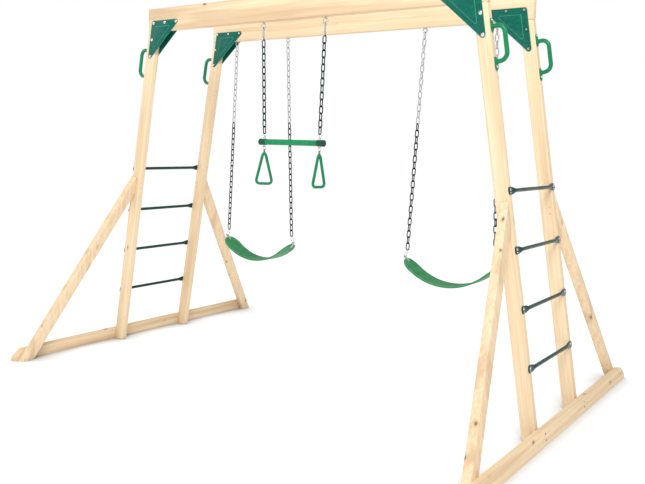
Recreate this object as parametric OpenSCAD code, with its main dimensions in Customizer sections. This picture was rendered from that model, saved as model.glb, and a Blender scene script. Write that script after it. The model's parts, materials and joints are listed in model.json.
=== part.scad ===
// Timber swing set: two top beams on four splayed legs, with two belt swings, a trapeze
// with hand rings, and a ladder of rungs up each end. Millimetres, Z up, origin on the
// ground under the middle of the frame. X runs along the beams, and the trapeze is at -Y.

/* [Frame] */
// Length of each top beam
beam_len = 2400; // [2300:10:3000]
// Height of a top beam
beam_h = 145; // [130:1:200]
// Thickness of the beams, legs, base boards and braces
timber_t = 45; // [38:1:60]
// Height of the top of the beams above the ground
overall_h = 2290; // [2200:10:2750]
// Distance between the outer faces of the two beams
frame_depth = 660; // [540:10:800]
// Width of a leg, seen from the front
leg_w = 75; // [70:1:100]
// Lean of the legs from upright, in degrees
splay = 10; // [8:0.5:12]

/* [Base and braces] */
// Length of a base board
board_len = 2260; // [1880:10:2720]
// Height of a base board
board_h = 70; // [58:1:100]
// Size of the cut across each upper corner of a base board
board_clip = 50; // [20:1:55]
// Width of a brace's broad face
brace_w = 70; // [58:1:90]
// Height of a brace's upper tip above the ground
brace_top = 1185; // [1080:5:1200]
// Length of the flat at a brace's upper tip
brace_tip = 10; // [5:1:20]
// Distance from a base board's end to the foot of the brace
brace_inset = 20; // [10:1:60]

/* [Corner plates] */
// Thickness of a corner plate
plate_t = 3; // [2:0.5:5]
// Width of the metal around each plate bolt
plate_margin = 15; // [13:1:18]
// Distance from the beam's end to the corner bolt
bolt_inset = 50; // [46:1:60]
// Distance from the beam's top to the row of bolts in it
bolt_drop = 92; // [60:1:100]
// Spacing of the bolts along the beam
beam_bolt_gap = 104; // [90:1:110]
// Spacing of the bolts down the leg
leg_bolt_gap = 107; // [90:1:128]
// Diameter of the plate bolts
bolt_d = 8; // [6:1:10]

/* [Rungs] */
// Height of the lowest rung
first_rung = 365; // [250:5:450]
// Spacing of the rungs
rung_gap = 290; // [240:5:310]
// Diameter of a rung's tube
rung_d = 20; // [16:1:28]
// Height of a rung's flattened end
paddle_h = 38; // [32:1:50]
// Thickness of a rung's flattened end
paddle_t = 5; // [3:0.5:7]

/* [Grips] */
// Height of a grip's upper screw
grip_top = 2058; // [1900:1:2065]
// Distance between a grip's two screws
grip_screw_gap = 228; // [190:1:275]
// Diameter of a grip's handle
grip_d = 23; // [18:1:28]
// Reach of a grip from the leg
grip_reach = 76; // [62:1:95]

/* [Swings] */
// Distance from the middle of the frame to the middle of a swing
swing_x = 755; // [720:5:850]
// Distance between a swing's two hangers
hanger_gap = 460; // [400:5:500]
// Distance between a swing's two chains where they meet the seat
seat_gap = 587; // [540:1:600]
// Number of links in a swing's chain
swing_links = 34; // [28:2:38]
// Number of those links, from the top, that have no plastic coat
bare_links = 14; // [6:1:20]
// Distance between the ends of a seat belt
belt_span = 600; // [560:5:620]
// Depth of the seat belt's curve
belt_sag = 135; // [110:1:160]
// Width of a seat belt
belt_w = 150; // [126:1:180]
// Thickness of a seat belt
belt_t = 9; // [7:0.5:12]

/* [Trapeze] */
// Distance between the trapeze's two hangers
trapeze_gap = 450; // [420:5:500]
// Distance between the two rings on the trapeze bar
bar_ring_gap = 410; // [380:5:420]
// Number of links in a trapeze chain
trapeze_links = 14; // [12:2:16]
// Length of the trapeze bar with its end caps
bar_len = 476; // [462:1:570]
// Diameter of the trapeze bar
bar_d = 34; // [28:1:40]
// Height of a hand ring
hand_ring_h = 197; // [165:1:235]
// Width of a hand ring
hand_ring_w = 110; // [92:1:130]
// Diameter of a hand ring's bar
hand_ring_d = 17; // [14:1:20]

/* [Chain] */
// Length that each link adds to a chain
link_pitch = 39; // [33:1:46]
// Width of the hole in a link
link_hole = 14; // [13:1:20]
// Diameter of a bare link's wire
wire_d = 6; // [5:0.5:6.5]
// Diameter of a plastic coated link's wire
coat_d = 6.5; // [5.5:0.5:7]

/* [Hidden] */
$fn = 48;

// Clearances: a fastener in its hole, a pin that turns, and a loop that hangs on another
fastener_gap = 0.1;
running_gap = 0.08;
hang_gap = 0.3;
side_lap = 0.01;

// Frame
leg_top = overall_h - beam_h;
outer_y = frame_depth / 2;
inner_y = outer_y - timber_t;
beam_y = outer_y - timber_t / 2;
leg_cut_w = leg_w / cos(splay);
leg_foot_x = beam_len / 2 + leg_top * tan(splay);
ground_z = face_z(0);
far = 4 * (beam_len + board_len);

// Braces, in the slope of the legs: from the upper tip to the foot on the ground
brace_tip_z = face_z(brace_top);
brace_foot_y = board_len / 2 - brace_inset;
brace_lean = atan2(brace_foot_y - outer_y - brace_tip, brace_tip_z - ground_z);
brace_low_z = brace_tip_z + brace_tip / tan(brace_lean) - brace_w / sin(brace_lean);

// Plates and their bolts, as seen from the front at the right end
plate_corner = [beam_len / 2 - bolt_inset, overall_h - bolt_drop];
plate_bolts = [
    for (i = [0 : 2]) plate_corner - [i * beam_bolt_gap, 0],
    for (i = [1 : 2]) plate_corner + i * leg_bolt_gap * [sin(splay), -cos(splay)]];
plate_tips = [plate_bolts[0], plate_bolts[2], plate_bolts[4]];
plate_middle = (plate_tips[0] + plate_tips[1] + plate_tips[2]) / 3;
emboss_share = 0.5;
emboss_h = 1.5;
emboss_r = 9;
bolt_head_r = 1.3 * bolt_d;
bolt_head_h = 0.6 * bolt_d;
nut_r = 0.9 * bolt_d;
nut_h = 0.85 * bolt_d;
bolt_end = 2;

// Wood screws: head radius, shank radius, and the depth of the countersunk head
screw_head_r = 5.5;
screw_r = 2.5;
screw_head_h = 3;
board_screw_len = 2 * timber_t - 8;
board_screw_z = [20, 50];
brace_screw_len = timber_t + 32;
brace_screw_rise = [18, 54];
foot_screw_z = 34;

// Rungs
rungs = 4;
rung_x = paddle_t / 2;
paddle_end_gap = 2;
paddle_corner = 8;
taper_len = 50;
rung_bolt_r = 4;
rung_bolt_head_r = 8;
rung_bolt_len = 50;
rung_bolt_rise = 6;
rung_screw_r = 2;
rung_screw_head_r = 4;
rung_screw_len = 30;
rung_screw_drop = 10;
low_head_h = 3;

// Grips
ear_r = 14.5;
ear_t = 6;
root_inset = 28;
grip_corner_r = 38;
grip_screw_len = 45;
grip_screw_head_h = 4;

// Screw eyes under the beams
eye_bar_r = 3.5;
shank_r = 4.5;
shank_depth = 95;
swing_eye_r = 13.5;
trapeze_eye_r = 15;
trapeze_eye_gap = 4;
swing_pivot_z = leg_top - eye_bar_r - 2 * swing_eye_r;
trapeze_pivot_z = leg_top - trapeze_eye_gap - eye_bar_r - 2 * trapeze_eye_r;

// Chains
link_inside = link_pitch + hang_gap;
swing_link_0 = hung(link_inside / 2, eye_bar_r);
swing_drop = swing_link_0 + (swing_links - 1) * link_pitch + link_inside / 2 + coat_d / 2;
swing_lean = asin((seat_gap - hanger_gap) / 2 / swing_drop);
seat_pivot_z = swing_pivot_z - swing_drop * cos(swing_lean);

// Seat: belt, tabs at its ends, and the rings from the tabs to the chains
seat_ring_bar_r = 2.5;
seat_ring_gap = 2.6;
seat_ring_h = 47;
seat_ring_w = 37;
seat_ring_corner = 8;
belt_r = (pow(belt_span / 2, 2) + pow(belt_sag, 2)) / (2 * belt_sag);
belt_turn = asin(belt_span / 2 / belt_r);
belt_corner = 60;
tab_reach = 14;
tab_grip = 30;
tab_w = 15;
tab_wall = 2.2;
tab_x = belt_span / 2 + tab_reach * cos(belt_turn);
seat_ring_lean = asin((tab_x - seat_gap / 2) / seat_ring_h);
tab_z = seat_pivot_z - seat_ring_h * cos(seat_ring_lean);
belt_end_z = tab_z - tab_reach * sin(belt_turn);
belt_centre_z = belt_end_z + belt_r * cos(belt_turn);
rivet_r = 3;
rivet_head_r = 5.5;
rivet_head_h = 1.8;
rivet_in = 14;

// Trapeze: rod, chain and ring below each hanger
rod_loop_r = 9;
rod_loop_bar_r = 3;
rod_len = 60;
rod_r = 5.5;
ring_r = 11.5;
ring_bar_r = 2;
rod_loop_z = hung(rod_loop_r - rod_loop_bar_r, eye_bar_r);
rod_end_z = rod_loop_z + rod_len + rod_loop_r;
trapeze_link_0 = rod_end_z + hung(link_inside / 2, rod_loop_bar_r);
chain_end_z = trapeze_link_0 + (trapeze_links - 1) * link_pitch + link_inside / 2 + coat_d / 2;
top_ring_z = chain_end_z + hung(ring_r - ring_bar_r, coat_d / 2);
trapeze_drop = top_ring_z + ring_r;
trapeze_lean = asin((trapeze_gap - bar_ring_gap) / 2 / trapeze_drop);
bar_pivot_z = trapeze_pivot_z - trapeze_drop * cos(trapeze_lean);

// Trapeze bar, with a staple above and below each ring place
cap_wall = 2;
cap_len = 45;
cap_r = bar_d / 2 + fastener_gap + cap_wall;
bar_wall = 2.5;
staple_r = 7;
staple_bar_r = 2.5;
staple_in = 9;
bar_drop = cap_r + 12;
bar_z = bar_pivot_z - bar_drop;
link_drop = 11;
ring_link_z = bar_z - cap_r - link_drop;

// Swivels and hand rings
low_ring_z = ring_link_z - hung(ring_r - ring_bar_r, staple_bar_r);
swivel_eye_r = 5;
swivel_bar_r = 2;
swivel_eye_z = low_ring_z - ring_r - hung(swivel_eye_r - swivel_bar_r, ring_bar_r);
swivel_r = 5.5;
swivel_h = 8;
swivel_z = swivel_eye_z - swivel_eye_r - swivel_h;
pin_r = 2.5;
pin_len = 12;
pin_head_r = 4;
pin_head_h = 2.5;
boss_r = 10;
boss_h = 17;
boss_rise = 2;
hand_ring_top_z = swivel_z - hang_gap;
web_t = 8;
web_h = 40;
apex_corner = 11;
foot_corner = 20;
left_ring_turn = 30;
right_ring_turn = 82;

// Where a height on the legs' outer face lies along the leg, measured from its top
function face_z(height) = (height - leg_top) / cos(splay);

// How far the middle of a loop hangs below the bar that carries it
function hung(loop_inside_r, carrier_r) = loop_inside_r - carrier_r - hang_gap;

// Rounded outlines are lists of corners [x, y, radius], anticlockwise. side_angle is the
// direction square to the side that leaves corner i
function next_corner(corners, i) = corners[(i + 1) % len(corners)];
function side_angle(corners, i) =
    let (a = corners[i], b = next_corner(corners, i), run = [b.x - a.x, b.y - a.y])
    atan2(run.y, run.x) - 90 + asin((a.z - b.z) / norm(run));
function touch_point(corner, angle) =
    [corner.x + corner.z * cos(angle), corner.y + corner.z * sin(angle)];

module rounded_outline(corners) {
    polygon([for (i = [0 : len(corners) - 1]) each [
        touch_point(corners[i] - [0, 0, side_lap], side_angle(corners, i)),
        touch_point(next_corner(corners, i) - [0, 0, side_lap], side_angle(corners, i))]]);
    for (corner = corners) translate([corner.x, corner.y]) circle(r = corner.z);
}

// A round bar along a rounded outline, lying in the XZ plane
module bar_loop(corners, bar_r) {
    last = len(corners) - 1;
    rotate([90, 0, 0]) for (i = [0 : last]) {
        angle = side_angle(corners, i);
        from = touch_point(corners[i], angle);
        to = touch_point(next_corner(corners, i), angle);
        before = side_angle(corners, i == 0 ? last : i - 1);
        translate(from) rotate(angle + 90) rotate([0, 90, 0]) cylinder(h = norm(to - from), r = bar_r);
        translate([corners[i].x, corners[i].y]) rotate(before)
            rotate_extrude(angle = (angle - before + 720) % 360)
                translate([corners[i].z, 0]) circle(r = bar_r);
    }
}

// The same outline as a flat band, on the XY plane
function grown(corners, by) = [for (corner = corners) corner + [0, 0, by]];
module band(corners, bar_r) difference() {
    rounded_outline(grown(corners, bar_r));
    rounded_outline(grown(corners, -bar_r));
}

// A round ring in the XZ plane
module ring(mean_r, bar_r) {
    rotate([90, 0, 0]) rotate_extrude() translate([mean_r, 0]) circle(r = bar_r);
}

// Half a ring in the XZ plane, open below
module half_ring(mean_r, bar_r) {
    rotate([90, 0, 0]) rotate_extrude(angle = 180) translate([mean_r, 0]) circle(r = bar_r);
}

// Low dome on the XY plane
module dome(r, h) {
    ball_r = (r * r + h * h) / (2 * h);
    intersection() {
        translate([0, 0, h - ball_r]) sphere(r = ball_r);
        cylinder(h = h, r = r);
    }
}

// Countersunk screw: its head's face is at the origin, and it points down
module countersunk(length, gap = 0) {
    translate([0, 0, -length - gap]) cylinder(h = length + gap, r = screw_r + gap);
    translate([0, 0, -screw_head_h]) cylinder(h = screw_head_h, r1 = screw_r + gap, r2 = screw_head_r + gap);
}

// Places: a child drawn at the right or rear goes to any end, side or corner
module at_x(side) mirror([side < 0 ? 1 : 0, 0, 0]) children();
module at_y(side) mirror([0, side < 0 ? 1 : 0, 0]) children();
module at_corner(x_side, y_side) at_x(x_side) at_y(y_side) children();
module at_all_corners() for (x_side = [-1, 1], y_side = [-1, 1]) at_corner(x_side, y_side) children();

// In the slope of the right legs: X square to their outer face, Z up along it
module on_slope() translate([beam_len / 2, 0, leg_top]) rotate([0, -splay, 0]) children();
module above_ground() intersection() {
    children();
    translate([-far / 2, -far / 2, 0]) cube(far);
}

// Fastener places at the right rear corner, each pointing down into the timber
module at_plate_bolts() for (p = plate_bolts) translate([p.x, outer_y, p.y]) rotate([-90, 0, 0]) children();
module at_board_screws() for (z = board_screw_z)
    on_slope() translate([timber_t, beam_y, face_z(z)]) rotate([0, 90, 0]) children();
module at_foot_screw() on_slope()
    translate([timber_t, brace_foot_y - brace_w / 2 / cos(brace_lean) - foot_screw_z * tan(brace_lean),
        face_z(foot_screw_z)]) rotate([0, 90, 0]) children();
module at_brace_screws() for (rise = brace_screw_rise)
    on_slope() translate([-timber_t / 2, inner_y, brace_low_z + rise]) rotate([90, 0, 0]) children();
module at_rungs(rise) for (i = [1 : rungs]) on_slope()
    translate([paddle_t, beam_y, rung_z(i) + rise]) rotate([0, 90, 0]) children();
module at_grip_screws() for (z = grip_screw_z) on_slope()
    translate([ear_t, beam_y, z]) rotate([0, 90, 0]) children();
function rung_z(i) = face_z(first_rung + (i - 1) * rung_gap);
grip_screw_z = [face_z(grip_top), face_z(grip_top) - grip_screw_gap];

// Timber
module beam(hanger_places) {
    color("burlywood") difference() {
        translate([-beam_len / 2, inner_y, leg_top]) cube([beam_len, timber_t, beam_h]);
        for (side = [-1, 1]) at_x(side) {
            at_plate_bolts() bolt_hole();
            for (x = hanger_places) translate([x, beam_y, leg_top - 1])
                cylinder(h = shank_depth + 1 + fastener_gap, r = shank_r + fastener_gap);
        }
    }
}
module bolt_hole() translate([0, 0, -timber_t - 1]) cylinder(h = timber_t + 2, r = bolt_d / 2 + fastener_gap);

module leg() {
    color("burlywood") difference() {
        translate([0, outer_y, 0]) rotate([90, 0, 0]) linear_extrude(timber_t) polygon([
            [beam_len / 2, leg_top], [beam_len / 2 - leg_cut_w, leg_top],
            [leg_foot_x - leg_cut_w, 0], [leg_foot_x, 0]]);
        at_plate_bolts() bolt_hole();
        at_board_screws() countersunk(board_screw_len, fastener_gap);
        at_brace_screws() countersunk(brace_screw_len, fastener_gap);
        at_rungs(rung_bolt_rise) pilot(rung_bolt_r, rung_bolt_len + paddle_t);
        at_rungs(-rung_screw_drop) pilot(rung_screw_r, rung_screw_len + paddle_t);
        at_grip_screws() pilot(screw_r, grip_screw_len + ear_t);
    }
}
module pilot(r, depth) translate([0, 0, -depth - fastener_gap])
    cylinder(h = depth + fastener_gap, r = r + fastener_gap);

module base_board() {
    half = board_len / 2;
    top = ground_z + board_h;
    color("burlywood") above_ground() difference() {
        on_slope() rotate([90, 0, 90]) linear_extrude(timber_t) polygon([
            [-half, ground_z - timber_t], [half, ground_z - timber_t],
            [half, top - board_clip], [half - board_clip, top],
            [board_clip - half, top], [-half, top - board_clip]]);
        for (side = [-1, 1]) at_y(side) {
            at_board_screws() countersunk(board_screw_len, fastener_gap);
            at_foot_screw() countersunk(board_screw_len, fastener_gap);
        }
    }
}

module brace() {
    below = ground_z - timber_t;
    run = brace_foot_y + timber_t * tan(brace_lean);
    color("burlywood") above_ground() difference() {
        on_slope() rotate([90, 0, 90]) translate([0, 0, -timber_t]) linear_extrude(timber_t) polygon([
            [outer_y, brace_tip_z], [outer_y, brace_low_z],
            [run - brace_w / cos(brace_lean), below], [run, below],
            [outer_y + brace_tip, brace_tip_z]]);
        at_foot_screw() countersunk(board_screw_len, fastener_gap);
        at_brace_screws() countersunk(brace_screw_len, fastener_gap);
    }
}

// Corner plates and their fasteners
module plate() {
    emboss = [for (tip = plate_tips) plate_middle + emboss_share * (tip - plate_middle)];
    color("darkgreen") difference() {
        translate([0, plate_t, 0]) rotate([90, 0, 0]) {
            linear_extrude(plate_t) rounded_outline([for (tip = plate_tips) [tip.x, tip.y, plate_margin]]);
            translate([0, 0, -emboss_h]) linear_extrude(emboss_h + plate_t)
                rounded_outline([for (tip = emboss) [tip.x, tip.y, emboss_r]]);
        }
        for (p = plate_bolts) translate([p.x, -1, p.y]) rotate([-90, 0, 0])
            cylinder(h = plate_t + 2, r = bolt_d / 2 + fastener_gap);
    }
}
module plate_pair() {
    translate([0, outer_y, 0]) plate();
    translate([0, inner_y, 0]) mirror([0, 1, 0]) plate();
}
module corner_bolts() {
    shank = timber_t + 2 * plate_t + nut_h + bolt_end;
    color("gainsboro") at_all_corners() at_plate_bolts() translate([0, 0, plate_t]) {
        dome(bolt_head_r, bolt_head_h);
        translate([0, 0, -shank]) cylinder(h = shank, r = bolt_d / 2);
    }
}
module corner_nuts() {
    color("silver") at_all_corners() at_plate_bolts() translate([0, 0, -timber_t - plate_t - nut_h]) difference() {
        cylinder(h = nut_h, r = nut_r, $fn = 6);
        translate([0, 0, -1]) cylinder(h = nut_h + 2, r = bolt_d / 2 + fastener_gap);
    }
}

// Rungs: a tube with a flared, flattened end against each leg
module rung(i) {
    tube_end = inner_y - taper_len / 2;
    color("darkgreen") on_slope() translate([0, 0, rung_z(i)]) {
        translate([rung_x, tube_end, 0]) rotate([90, 0, 0]) cylinder(h = 2 * tube_end, r = rung_d / 2);
        for (side = [-1, 1]) at_y(side) difference() {
            rotate([90, 0, 90]) linear_extrude(paddle_t) paddle_outline();
            translate([0, beam_y, rung_bolt_rise]) rotate([0, 90, 0]) translate([0, 0, -1])
                cylinder(h = paddle_t + 2, r = rung_bolt_r + fastener_gap);
            translate([0, beam_y, -rung_screw_drop]) rotate([0, 90, 0]) translate([0, 0, -1])
                cylinder(h = paddle_t + 2, r = rung_screw_r + fastener_gap);
        }
    }
}
module paddle_outline() {
    end = outer_y - paddle_end_gap;
    half = paddle_h / 2;
    tip = half - paddle_corner;
    flare_y = inner_y - taper_len;
    neck = 0.8 * rung_d / 2;
    polygon([[flare_y, -neck], [inner_y, -half], [end - paddle_corner, -half], [end, -tip],
        [end, tip], [end - paddle_corner, half], [inner_y, half], [flare_y, neck]]);
    for (side = [-1, 1]) translate([end - paddle_corner, side * tip]) circle(r = paddle_corner);
}
module rung_bolts() {
    color("gainsboro") at_all_corners() at_rungs(rung_bolt_rise) {
        dome(rung_bolt_head_r, low_head_h);
        translate([0, 0, -rung_bolt_len - paddle_t]) cylinder(h = rung_bolt_len + paddle_t, r = rung_bolt_r);
    }
}
module rung_screws() {
    color("dimgray") at_all_corners() at_rungs(-rung_screw_drop) {
        dome(rung_screw_head_r, low_head_h);
        translate([0, 0, -rung_screw_len - paddle_t]) cylinder(h = rung_screw_len + paddle_t, r = rung_screw_r);
    }
}

// Grips: a round handle with an ear and a screw at each end
module grip() {
    half = grip_screw_gap / 2;
    root = half - root_inset;
    out = grip_reach - grip_d / 2;
    color("green") on_slope() translate([0, beam_y, (grip_screw_z[0] + grip_screw_z[1]) / 2]) {
        translate([out, 0, grip_corner_r - root]) cylinder(h = 2 * (root - grip_corner_r), r = grip_d / 2);
        for (side = [-1, 1]) mirror([0, 0, side < 0 ? 1 : 0]) {
            translate([out - grip_corner_r, 0, root - grip_corner_r]) rotate([90, 0, 0])
                rotate_extrude(angle = 90) translate([grip_corner_r, 0]) circle(r = grip_d / 2);
            translate([0, 0, root]) rotate([0, 90, 0]) cylinder(h = out - grip_corner_r, r = grip_d / 2);
            difference() {
                union() {
                    translate([0, 0, half]) rotate([0, 90, 0]) cylinder(h = ear_t, r = ear_r);
                    translate([0, -ear_r, root]) cube([ear_t, 2 * ear_r, root_inset]);
                }
                translate([-1, 0, half]) rotate([0, 90, 0]) cylinder(h = ear_t + 2, r = screw_r + fastener_gap);
            }
        }
    }
}
module grip_screws() {
    color("gainsboro") at_all_corners() at_grip_screws() {
        dome(screw_head_r, grip_screw_head_h);
        translate([0, 0, -grip_screw_len - ear_t]) cylinder(h = grip_screw_len + ear_t, r = screw_r);
    }
}
module frame_screws() {
    color("dimgray") at_all_corners() {
        at_board_screws() countersunk(board_screw_len);
        at_foot_screw() countersunk(board_screw_len);
        at_brace_screws() countersunk(brace_screw_len);
    }
}

// Screw eyes
module screw_eye(mean_r, pivot_z) {
    shank_foot = pivot_z + 2 * mean_r;
    translate([0, beam_y, pivot_z + mean_r]) ring(mean_r, eye_bar_r);
    translate([0, beam_y, shank_foot]) cylinder(h = leg_top + shank_depth - shank_foot, r = shank_r);
}
swing_hanger_x = [swing_x - hanger_gap / 2, swing_x + hanger_gap / 2];
module swing_hangers() {
    color("silver") for (side = [-1, 1], x = swing_hanger_x)
        at_x(side) translate([x, 0, 0]) screw_eye(swing_eye_r, swing_pivot_z);
}
module trapeze_hangers() {
    color("silver") at_y(-1) for (side = [-1, 1])
        at_x(side) translate([trapeze_gap / 2, 0, 0]) screw_eye(trapeze_eye_r, trapeze_pivot_z);
}

// Chains: links numbered from the top, each a quarter turn on from the one above
module chain(first, last, top, bar_d, first_turn) {
    corner_r = (link_hole + bar_d) / 2;
    reach = (link_inside + bar_d) / 2 - corner_r;
    for (i = [first : last]) translate([0, 0, -top - i * link_pitch]) rotate([0, 0, first_turn + 90 * (i % 2)])
        bar_loop([[0, reach, corner_r], [0, -reach, corner_r]], bar_d / 2);
}
module on_swing_chains() for (side = [-1, 1])
    translate([swing_x, beam_y, swing_pivot_z]) at_x(side)
        translate([hanger_gap / 2, 0, 0]) rotate([0, -swing_lean, 0]) children();
module bare_chains() color("silver") on_swing_chains() chain(0, bare_links - 1, swing_link_0, wire_d, 90);
module coated_chains() color("darkgreen") on_swing_chains()
    chain(bare_links, swing_links - 1, swing_link_0, coat_d, 90);

// Seats
module at_seat_ends() for (side = [-1, 1]) translate([swing_x, beam_y, 0]) at_x(side) children();
module on_tab() at_seat_ends() translate([tab_x, 0, tab_z]) rotate([0, -belt_turn, 0]) children();
module belt_curve(thickness, width) {
    translate([swing_x, beam_y, belt_centre_z]) rotate([90, 0, 0]) rotate(-90 - belt_turn)
        rotate_extrude(angle = 2 * belt_turn) translate([belt_r, 0]) square([thickness, width], center = true);
}
module seat_belt() {
    long = belt_span / 2 - belt_corner;
    wide = belt_w / 2 - belt_corner;
    color("seagreen") difference() {
        intersection() {
            belt_curve(belt_t, belt_w + 2);
            translate([swing_x, beam_y, belt_centre_z - belt_r - 2 * belt_t]) linear_extrude(belt_r)
                rounded_outline([[long, wide, belt_corner], [-long, wide, belt_corner],
                    [-long, -wide, belt_corner], [long, -wide, belt_corner]]);
        }
        at_rivets() cylinder(h = 4 * belt_t, r = rivet_r + fastener_gap, center = true);
    }
}
module at_rivets() on_tab() translate([-tab_reach - rivet_in, 0, 0]) children();
module seat_rings() {
    foot = (seat_ring_w / 2 - seat_ring_bar_r) - seat_ring_corner;
    top = coat_d / 2 + seat_ring_gap + seat_ring_bar_r - seat_ring_corner;
    color("silver") at_seat_ends() translate([seat_gap / 2, 0, seat_pivot_z])
        rotate([0, -seat_ring_lean, 0]) rotate([90, 0, 90]) translate([0, 0, -seat_ring_bar_r])
            linear_extrude(2 * seat_ring_bar_r) band([
                [0, top, seat_ring_corner],
                [-foot, seat_ring_corner - seat_ring_h, seat_ring_corner],
                [foot, seat_ring_corner - seat_ring_h, seat_ring_corner]], seat_ring_bar_r);
}
module seat_tabs() {
    half_t = belt_t / 2 + fastener_gap + tab_wall;
    length = tab_reach + tab_grip;
    color("gray") difference() {
        on_tab() {
            rotate([90, 0, 0]) cylinder(h = tab_w, r = half_t, center = true);
            translate([-length, -tab_w / 2, -half_t]) cube([length, tab_w, 2 * half_t]);
        }
        on_tab() rotate([90, 0, 0]) cylinder(h = 2 * tab_w, r = sqrt(2) * seat_ring_bar_r + hang_gap, center = true);
        belt_curve(belt_t + 2 * fastener_gap, 2 * tab_w);
        at_rivets() cylinder(h = 4 * belt_t, r = rivet_r + fastener_gap, center = true);
    }
}
module seat_rivets() {
    grip_h = belt_t + 2 * (fastener_gap + tab_wall);
    color("silver") at_rivets() {
        cylinder(h = grip_h, r = rivet_r, center = true);
        for (side = [-1, 1]) mirror([0, 0, side < 0 ? 1 : 0]) translate([0, 0, grip_h / 2])
            dome(rivet_head_r, rivet_head_h);
    }
}

// Trapeze, from the hangers down to the rings on its bar
module on_trapeze_chains() for (side = [-1, 1])
    at_x(side) at_y(-1) translate([trapeze_gap / 2, beam_y, trapeze_pivot_z]) rotate([0, trapeze_lean, 0]) children();
module trapeze_rods() {
    color("silver") on_trapeze_chains() translate([0, 0, -rod_loop_z]) {
        for (z = [0, -rod_len]) translate([0, 0, z]) rotate([0, 0, 90]) ring(rod_loop_r, rod_loop_bar_r);
        translate([0, 0, rod_loop_r - rod_len]) cylinder(h = rod_len - 2 * rod_loop_r, r = rod_r);
    }
}
module trapeze_chains() color("darkgreen") on_trapeze_chains() chain(0, trapeze_links - 1, trapeze_link_0, coat_d, 0);
module trapeze_rings() color("silver") on_trapeze_chains() translate([0, 0, -top_ring_z]) ring(ring_r, ring_bar_r);

// Trapeze bar
module at_bar_rings() for (side = [-1, 1]) translate([side * bar_ring_gap / 2, -beam_y, bar_z]) children();
module along_bar(length, r) translate([-length / 2, -beam_y, bar_z]) rotate([0, 90, 0]) cylinder(h = length, r = r);
module staple_pair(gap = 0) {
    crown_z = bar_drop + hang_gap + ring_bar_r - (staple_r - staple_bar_r);
    rotate([0, 0, 90]) staple(crown_z, gap);
    mirror([0, 0, 1]) staple(cap_r + link_drop - staple_r, gap);
}
module staple(crown_z, gap) {
    translate([0, 0, crown_z]) half_ring(staple_r, staple_bar_r + gap);
    for (side = [-1, 1]) translate([side * staple_r, 0, staple_in - gap])
        cylinder(h = crown_z - staple_in + gap, r = staple_bar_r + gap);
}
module trapeze_bar() {
    length = bar_len - 2 * (cap_wall + fastener_gap);
    color("green") difference() {
        along_bar(length, bar_d / 2);
        along_bar(length + 2, bar_d / 2 - bar_wall);
        at_bar_rings() staple_pair(fastener_gap);
    }
}
module bar_end_caps() {
    color("darkgreen") difference() {
        along_bar(bar_len, cap_r);
        along_bar(bar_len - 2 * cap_wall, bar_d / 2 + fastener_gap);
        along_bar(bar_len - 2 * cap_len, 2 * cap_r);
        at_bar_rings() staple_pair(fastener_gap);
    }
}
module bar_staples() color("silver") at_bar_rings() staple_pair();

// Hand rings, each on a ring and a swivel below the bar; drawn at the right end
module below_bar() translate([bar_ring_gap / 2, -beam_y, 0]) children();
module bar_ring() color("silver") below_bar() translate([0, 0, low_ring_z]) rotate([0, 0, 90]) ring(ring_r, ring_bar_r);
module swivel_pin(gap = 0) {
    translate([0, 0, swivel_z - pin_len - gap]) cylinder(h = pin_len + gap, r = pin_r + gap);
    translate([0, 0, swivel_z - pin_len - gap]) cylinder(h = pin_head_h + 2 * gap, r = pin_head_r + gap);
}
module swivel() {
    color("darkgoldenrod") below_bar() {
        translate([0, 0, swivel_eye_z]) ring(swivel_eye_r, swivel_bar_r);
        translate([0, 0, swivel_z]) cylinder(h = swivel_h, r = swivel_r);
        swivel_pin();
    }
}
module hand_ring(turn) {
    bar_r = hand_ring_d / 2;
    foot_x = hand_ring_w / 2 - bar_r - foot_corner;
    corners = [[0, -boss_rise - bar_r - apex_corner, apex_corner],
        [-foot_x, bar_r + foot_corner - hand_ring_h, foot_corner],
        [foot_x, bar_r + foot_corner - hand_ring_h, foot_corner]];
    color("green") below_bar() difference() {
        translate([0, 0, hand_ring_top_z]) rotate([0, 0, turn]) {
            translate([0, bar_r, 0]) rotate([90, 0, 0]) linear_extrude(2 * bar_r) band(corners, bar_r);
            translate([0, web_t / 2, 0]) rotate([90, 0, 0]) linear_extrude(web_t) intersection() {
                rounded_outline(corners);
                translate([-hand_ring_w / 2, -web_h]) square([hand_ring_w, web_h]);
            }
            translate([0, 0, -boss_h]) cylinder(h = boss_h, r = boss_r);
        }
        swivel_pin(running_gap);
    }
}

at_y(-1) beam([trapeze_gap / 2]);  // front_beam
beam(swing_hanger_x);  // rear_beam
at_corner(-1, -1) leg();  // front_left_leg
at_corner(1, -1) leg();  // front_right_leg
at_corner(-1, 1) leg();  // rear_left_leg
at_corner(1, 1) leg();  // rear_right_leg
at_x(-1) base_board();  // left_base_board
base_board();  // right_base_board
at_corner(-1, -1) brace();  // front_left_brace
at_corner(1, -1) brace();  // front_right_brace
at_corner(-1, 1) brace();  // rear_left_brace
at_corner(1, 1) brace();  // rear_right_brace
at_corner(-1, -1) plate_pair();  // front_left_plates
at_corner(1, -1) plate_pair();  // front_right_plates
at_corner(-1, 1) plate_pair();  // rear_left_plates
at_corner(1, 1) plate_pair();  // rear_right_plates
corner_bolts();
corner_nuts();
at_x(-1) rung(1);  // left_rung_1
at_x(-1) rung(2);  // left_rung_2
at_x(-1) rung(3);  // left_rung_3
at_x(-1) rung(4);  // left_rung_4
rung(1);  // right_rung_1
rung(2);  // right_rung_2
rung(3);  // right_rung_3
rung(4);  // right_rung_4
rung_bolts();
rung_screws();
at_corner(-1, -1) grip();  // front_left_grip
at_corner(1, -1) grip();  // front_right_grip
at_corner(-1, 1) grip();  // rear_left_grip
at_corner(1, 1) grip();  // rear_right_grip
grip_screws();
frame_screws();
swing_hangers();
trapeze_hangers();
at_x(-1) bare_chains();  // left_bare_chains
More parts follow.
